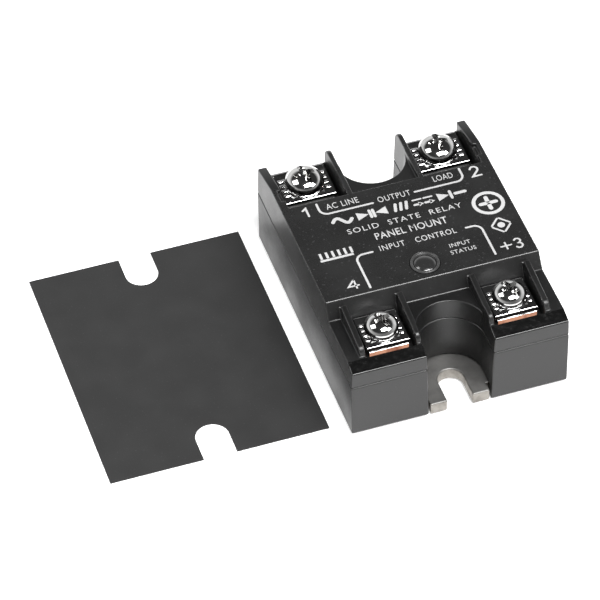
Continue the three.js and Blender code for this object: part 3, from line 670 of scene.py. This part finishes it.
def saddle(number, kind):
    """A pressed clamp plate: ridged wings, a raised front lip, rolled edges and a hole."""
    low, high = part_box(f"{kind}_clamp_{number}")
    screw_low, screw_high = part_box(f"{kind}_screw_{number}")
    middle = (low + high) / 2
    half_x = (high.x - low.x) / 2
    half_y = (high.y - low.y) / 2
    head = (screw_high.x - screw_low.x) / 2

    def raised(x, y):
        """The pressed shape, top and bottom alike: a lip before the screw and a rise behind it."""
        lip = soft_step(-y, half_y - 1.9 * MM, 0.6 * MM)
        lip = lip * (1 - soft_step(-y, half_y - 1.2 * MM, 0.6 * MM))
        lip *= 1 - soft_step(abs(x), half_x * 0.42, 1.0 * MM)
        back = soft_step(y, half_y - 1.1 * MM, 0.5 * MM)
        return LIP_HIGH * lip + BACK_HIGH * back

    def relief(x, y):
        """The top alone: soft ridges across each wing, and edges that roll down."""
        wing = soft_step(abs(x), head - 0.7 * MM, 0.5 * MM)
        wing = wing * (1 - soft_step(abs(x), half_x - 0.8 * MM, 0.35 * MM))
        bars = 0
        for place in RIDGE_PLACES:
            off = min(1, abs(y - place * half_y) / RIDGE_HALF)
            bars += 0.5 + 0.5 * math.cos(math.pi * off)
        near = min(half_x - abs(x), half_y - abs(y)) / ROLL_WIDE
        roll = 1 - math.sqrt(1 - (1 - near) ** 2) if near < 1 else 0
        return RIDGE_HIGH * wing * bars - ROLL_DEEP * roll

    mesh = bmesh.new()
    columns = round(2 * half_x / SADDLE_PITCH[0])
    rows = round(2 * half_y / SADDLE_PITCH[1])
    bmesh.ops.create_grid(mesh, x_segments=columns, y_segments=rows, size=1)
    for vert in mesh.verts:
        # Closer columns towards the sides, where the edges roll
        x = 0.65 * vert.co.x + 0.35 * math.sin(math.pi / 2 * vert.co.x)
        vert.co = (half_x * x, half_y * vert.co.y, 0)
    hole = SADDLE_HOLE[kind]
    opening = [face for face in mesh.faces if face.calc_center_median().length < hole]
    bmesh.ops.delete(mesh, geom=opening, context="FACES")
    grown = bmesh.ops.extrude_face_region(mesh, geom=mesh.faces[:], use_keep_orig=True)
    upper = {item for item in grown["geom"] if isinstance(item, bmesh.types.BMVert)}
    for vert in mesh.verts:
        x, y, _ = vert.co
        z = low.z + raised(x, y)
        if vert in upper:
            z += SADDLE_THICK + relief(x, y)
        vert.co = (middle.x + x, middle.y + y, z)
    bmesh.ops.recalc_face_normals(mesh, faces=mesh.faces)
    smooth_with_creases(mesh, 45)
    made = object_from(mesh, f"{kind}_saddle_{number}", [CLAMP])
    take_over(made, f"{kind}_clamp_{number}", slot="plated", body=f"clamp_{number}")


for number, kind in TERMINALS.items():
    node = f"{kind}_strap_{number}"
    name = f"{kind}_strip_{number}"
    strap = bevelled(node, name, [CLAMP, COPPER], 0.07 * MM, 2, strap_face(kind))
    take_over(strap, f"{kind}_strap_{number}", slot="strap")
    saddle(number, kind)
    screw_head(number, kind)

# ---- Status light --------------------------------------------------------------------

LENS_RADIUS = 2.22 * MM
FLANGE_THICK = 0.65 * MM
LENS_STEPS = 10

lens_low, lens_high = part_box("led_lens")
lens_middle = (lens_low + lens_high) / 2
flange_radius = (lens_high.x - lens_low.x) / 2
flange_top = lens_low.z + FLANGE_THICK
dome_foot = DECK_Z + 0.08 * MM
lens_profile = [(0, lens_low.z), (flange_radius, lens_low.z), (flange_radius, flange_top)]
lens_profile += [(LENS_RADIUS, flange_top), (LENS_RADIUS, DECK_Z - 0.05 * MM)]
lens_profile.append((LENS_RADIUS - 0.12 * MM, dome_foot))
lens_profile += dome(LENS_RADIUS - 0.3 * MM, dome_foot, 0.34 * MM, LENS_STEPS)
lens_mesh = lathe(lens_profile, 64, Vector((lens_middle.x, lens_middle.y, 0)))
smooth_with_creases(lens_mesh, 40)
lens = object_from(lens_mesh, "window_dome", [LENS])
take_over(lens, "led_lens", slot="lens")

# The rim round the window is a half-round ring with a skirt set into the deck, in millimetres. Its
# paler colour is a painted highlight on the deck's own plastic
rim_profile = [(2.32, -0.3), (2.95, -0.3), (2.95, -0.02)]
for k in range(9):
    turn = math.pi * k / 8
    rim_profile.append((2.66 + 0.26 * math.cos(turn), 0.02 + 0.26 * math.sin(turn)))
rim_profile.append((2.32, -0.02))
rim_middle = Vector((lens_middle.x, lens_middle.y, DECK_Z))
rim_mesh = lathe([(r * MM, z * MM) for r, z in rim_profile], 72, rim_middle)
smooth_with_creases(rim_mesh, 50)
light_rim = object_from(rim_mesh, "light_rim", [RIM_PAINTED_HIGHLIGHT])
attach(light_rim, "housing")

# ---- Deck print ----------------------------------------------------------------------

# All places and sizes on the print are in millimetres
PRINT_LOW = DECK_Z - 0.02 * MM
PRINT_HIGH = DECK_Z + 0.015 * MM
LINE_WIDTH = 0.45
CAP_STEPS = 8
SHARPEST_CORNER = 0.4  # limits how far a stroke's corner reaches out
RING_STEPS = 48
print_mesh = bmesh.new()


def stroke(points, width=LINE_WIDTH):
    """A line of one width with round ends, through points."""
    path = [Vector(p) * MM for p in points]
    half = width * MM / 2
    left = []
    right = []
    for k, point in enumerate(path):
        before = (point - path[k - 1]).normalized() if k else None
        after = (path[k + 1] - point).normalized() if k < len(path) - 1 else None
        before = before or after
        after = after or before
        along = (before + after).normalized()
        reach = half / max(SHARPEST_CORNER, along.dot(after))
        across = Vector((-along.y, along.x)) * reach
        left.append(point + across)
        right.append(point - across)

    def cap(centre, start):
        """Half a circle, clockwise from start."""
        arm = start - centre
        turns = [-math.pi * k / CAP_STEPS for k in range(1, CAP_STEPS)]
        return [centre + Matrix.Rotation(turn, 2) @ arm for turn in turns]

    outline = left + cap(path[-1], left[-1]) + right[::-1] + cap(path[0], right[0])
    prism([(p.x, p.y) for p in outline], PRINT_LOW, PRINT_HIGH, print_mesh)


def filled(points):
    prism([(x * MM, y * MM) for x, y in points], PRINT_LOW, PRINT_HIGH, print_mesh)


def arc(centre, radius, start, end, steps=10):
    """Points on an arc from one angle to another, in degrees."""
    turns = [math.radians(start + (end - start) * k / steps) for k in range(steps + 1)]
    return [(centre[0] + radius * math.cos(t), centre[1] + radius * math.sin(t)) for t in turns]


def add_to_print(part):
    """Join a finished bmesh to the deck print, and free it."""
    data = bpy.data.meshes.new("print part")
    part.to_mesh(data)
    part.free()
    print_mesh.from_mesh(data)
    bpy.data.meshes.remove(data)


def ring_mark(centre, radius, width):
    """A closed ring, as one band."""
    inner = (radius - width) * MM
    outer = radius * MM
    section = [(inner, PRINT_LOW), (outer, PRINT_LOW), (outer, PRINT_HIGH), (inner, PRINT_HIGH)]
    add_to_print(lathe(section, RING_STEPS, Vector((centre[0] * MM, centre[1] * MM, 0))))


def words(text, left, right, base, tall, spacing, bold=0.0):
    """Generic lettering, fitted between left and right, with capitals tall high."""
    curve = bpy.data.curves.new("lettering", "FONT")
    curve.body = text
    curve.space_character = spacing
    curve.offset = bold
    curve.resolution_u = 4
    holder = bpy.data.objects.new("lettering", curve)
    bpy.context.scene.collection.objects.link(holder)
    bpy.context.view_layer.update()
    flat = holder.evaluated_get(bpy.context.evaluated_depsgraph_get()).to_mesh()
    part = bmesh.new()
    part.from_mesh(flat)
    bpy.data.objects.remove(holder)
    bmesh.ops.remove_doubles(part, verts=part.verts, dist=1e-5)
    low_x = min(v.co.x for v in part.verts)
    high_x = max(v.co.x for v in part.verts)
    low_y = min(v.co.y for v in part.verts)
    high_y = max(v.co.y for v in part.verts)
    for v in part.verts:
        v.co.x = (left + (right - left) * (v.co.x - low_x) / (high_x - low_x)) * MM
        v.co.y = (base + tall * (v.co.y - low_y) / (high_y - low_y)) * MM
        v.co.z = PRINT_LOW
    lifted(bmesh.ops.extrude_face_region(part, geom=part.faces[:], use_keep_orig=True), PRINT_HIGH)
    add_to_print(part)


# Terminal numbers: 1, 2, +3 and 4
stroke([(-18.0, 12.65), (-17.25, 13.2), (-17.25, 10.85)], 0.42)
stroke(arc((17.9, 12.85), 0.78, 165, -38) + [(17.1, 10.9), (18.9, 10.9)], 0.42)
cross = [(-0.18, -1.05), (0.18, -1.05), (0.18, -0.18), (1.2, -0.18), (1.2, 0.18), (0.18, 0.18)]
filled([(16.35 + x, -9.75 + y) for x, y in cross] + [(16.35 - x, -9.75 - y) for x, y in cross])
stroke(arc((18.85, -9.1), 0.62, 150, -75) + arc((18.85, -10.36), 0.68, 75, -150), 0.38)
stroke([(-14.85, -8.85), (-16.35, -10.5), (-14.25, -10.5)], 0.36)
stroke([(-14.85, -8.8), (-14.85, -11.2)], 0.36)

# Bracket lines that tie the terminal numbers to their side
stroke([(-14.85, 13.6), (-14.85, 11.9)] + arc((-13.25, 11.9), 1.6, 180, 270)[1:] + [(-4.2, 10.3)])
stroke([(4.7, 10.6), (13.6, 10.6)] + arc((13.6, 12.2), 1.6, 270, 360)[1:] + [(15.2, 14.0)])
stroke([(-8.8, -2.75), (-10.8, -2.75)] + arc((-10.8, -4.35), 1.6, 90, 180)[1:] + [(-12.4, -11.9)])
stroke([(10.7, -2.4), (12.0, -2.4)] + arc((12.0, -4.0), 1.6, 90, 0)[1:] + [(13.6, -11.2)])

# Functional words: text, left, right, base line, capital height, letter spacing
words("OUTPUT", -3.0, 3.8, 10.0, 1.55, 1.15)
words("AC LINE", -13.3, -6.6, 11.4, 1.6, 1.1)
words("LOAD", 9.3, 13.4, 12.0, 1.6, 1.05)
words("SOLID  STATE  RELAY", -11.6, 12.1, 3.4, 1.4, 1.2)
words("PANEL MOUNT", -6.9, 8.0, 0.15, 1.9, 1.05, bold=0.008)
words("INPUT", -7.2, -2.0, -3.1, 1.45, 1.15)
words("CONTROL", 0.2, 8.6, -3.1, 1.45, 1.15)
words("INPUT", 5.9, 10.2, -6.7, 1.05, 1.1)
words("STATUS", 5.5, 10.7, -8.6, 1.05, 1.1)

# A wide circuit diagram: line, back-to-back switches, isolation, lamp, control
WAVE_STEPS = 24
wave = []
for k in range(WAVE_STEPS + 1):
    rise = math.sin(2 * math.pi * k / WAVE_STEPS)
    wave.append((-13.4 + 3.9 * k / WAVE_STEPS, 7.55 + 0.85 * rise))
stroke(wave, 0.75)
for left, way in ((-8.4, 1), (-4.6, -1)):
    tip = left + 2.4 if way > 0 else left
    back = left if way > 0 else left + 2.4
    filled([(back, 6.45), (tip, 7.55), (back, 8.65)][::way])
    stroke([(tip + 0.35 * way, 6.6), (tip + 0.35 * way, 8.5)], 0.6)
for k in range(3):
    stroke([(-0.7 + k * 1.15, 6.65), (-0.2 + k * 1.15, 8.45)], 0.62)
for k in range(2):
    x = 3.4 + k * 2.3
    stroke([(x, 7.0), (x + 1.1, 7.0)], 0.55)
    filled([(x + 0.9, 6.4), (x + 2.0, 7.0), (x + 0.9, 7.6)])
    stroke([(x, 8.35), (x + 1.7, 8.35)], 0.4)
filled([(8.4, 6.45), (10.8, 7.55), (8.4, 8.65)])
stroke([(11.15, 6.6), (11.15, 8.5)], 0.6)
stroke([(12.1, 7.55), (14.1, 7.55)], 0.75)

# Three plain pictograms: driver cross in a ring, dot in a diamond, and cooling fins
ring_mark((17.3, 2.8), 3.3, 0.75)
stroke([(15.7, 2.8), (18.9, 2.8)], 0.85)
stroke([(17.3, 1.2), (17.3, 2.3)], 0.85)
stroke([(17.3, 3.3), (17.3, 4.4)], 0.85)
diamond = [(17.5, -1.75), (19.55, -3.9), (17.5, -6.05), (15.45, -3.9)]
for first, second in zip(diamond, diamond[1:] + diamond[:1]):
    ends = [tuple(Vector(first).lerp(Vector(second), share)) for share in (0.1, 0.9)]
    stroke(ends, 0.4)
filled(arc((17.5, -3.9), 0.75, 0, 345, 23))
filled([(-19.2, -2.3), (-12.4, -2.3), (-12.4, -1.75), (-19.2, -1.75)])
for k in range(6):
    x = -19.0 + k * 1.25
    filled([(x, -1.6), (x + 0.5, -1.6), (x + 0.5, 0.1), (x, 0.1)])

ink = object_from(print_mesh, "deck_print", [INK])
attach(ink, "housing")

# ---- What stays inside ---------------------------------------------------------------

replaced = {"top_cover", "lower_case", "base_plate", "thermal_pad", "led_lens"}
for number, kind in TERMINALS.items():
    replaced |= {f"{kind}_{piece}_{number}" for piece in ("strap", "clamp", "screw")}
slot_of = {part["node"]: part["material_slot"] for part in frame["record"]["subparts"]}
for name, node in nodes.items():
    if name not in replaced:
        node.data.materials.clear()
        node.data.materials.append(SLOT_MATERIALS[slot_of[name]])

# ---- Floor and light -----------------------------------------------------------------

FLOOR_HALF = 3.0
FLOOR_GAP = 0.02 * MM
FLOOR_GLOW = 0.42  # the paper's own light, which washes out shadows
BAND_STRENGTH = 1.0
SKY_STRENGTH = 0.05
BAND_EDGE = (0.60, 0.40)  # heights between which the bright low band begins
BAND_FRONT_TO_BACK = (-1.2, 0.2)  # the band grows from the front to full behind the object

low_corner = Vector(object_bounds()[0])
floor_mesh = bmesh.new()
bmesh.ops.create_grid(floor_mesh, x_segments=1, y_segments=1, size=FLOOR_HALF)
floor_z = low_corner.z - FLOOR_GAP
bmesh.ops.translate(floor_mesh, verts=floor_mesh.verts, vec=(0, 0, floor_z))
PAPER = plastic("studio_paper", 0.88, 0.75, rubbed=0.03, grain=400.0, bump=0.0, dust=0.0)
principled = PAPER.node_tree.nodes["Principled BSDF"]
principled.inputs["Emission Color"].default_value = WHITE
principled.inputs["Emission Strength"].default_value = FLOOR_GLOW
floor = object_from(floor_mesh, "floor", [PAPER])

world = bpy.data.worlds.new("studio")
bpy.context.scene.world = world
world.use_nodes = True
sky = world.node_tree
background = sky.nodes["Background"]
background.inputs["Color"].default_value = WHITE
direction = put(sky, "ShaderNodeTexCoord").outputs["Generated"]
split = put(sky, "ShaderNodeSeparateXYZ")
sky.links.new(direction, split.inputs[0])
band = ramp(sky, split.outputs["Z"], *BAND_EDGE)
behind = ramp(sky, split.outputs["Y"], *BAND_FRONT_TO_BACK)
strength = math_node(sky, "MULTIPLY", band, behind)
strength = math_node(sky, "MULTIPLY", strength, BAND_STRENGTH)
strength = math_node(sky, "ADD", strength, SKY_STRENGTH)
sky.links.new(strength, background.inputs["Strength"])


def softbox(name, place, size, watts):
    """A rectangular area light that faces the object."""
    lamp = bpy.data.lights.new(name, "AREA")
    lamp.shape = "RECTANGLE"
    lamp.size, lamp.size_y = size
    lamp.energy = watts
    holder = bpy.data.objects.new(name, lamp)
    holder.location = place
    holder.rotation_euler = (-Vector(place)).to_track_quat("-Z", "Y").to_euler()
    bpy.context.scene.collection.objects.link(holder)


softbox("overhead", (0.1, -0.42, 0.8), (0.5, 0.3), 12.5)
softbox("left", (-0.62, 0.2, 0.8), (0.4, 0.45), 3.5)
softbox("right front", (0.55, -0.5, 0.8), (0.4, 0.4), 4.5)

# ---- Camera --------------------------------------------------------------------------

CAMERA_PLACE = (-0.18197225, -0.5051, 0.53627232)
CAMERA_RIGHT = Vector((0.94892162, -0.31507618, -0.0165762))
CAMERA_UP = Vector((0.23346006, 0.6658354, 0.70863221))

camera = bpy.data.cameras.new("camera")
camera.sensor_width = 36.0
camera.lens = 228.15
camera.shift_x = 0.0042
camera.shift_y = 0.0011
camera.clip_start = 0.05
camera.clip_end = 20.0
viewer = bpy.data.objects.new("camera", camera)
camera_axes = Matrix((CAMERA_RIGHT, CAMERA_UP, CAMERA_RIGHT.cross(CAMERA_UP))).transposed()
viewer.matrix_world = Matrix.Translation(CAMERA_PLACE) @ camera_axes.to_4x4()
bpy.context.scene.collection.objects.link(viewer)
bpy.context.scene.camera = viewer
bpy.context.scene.view_settings.view_transform = "Standard"
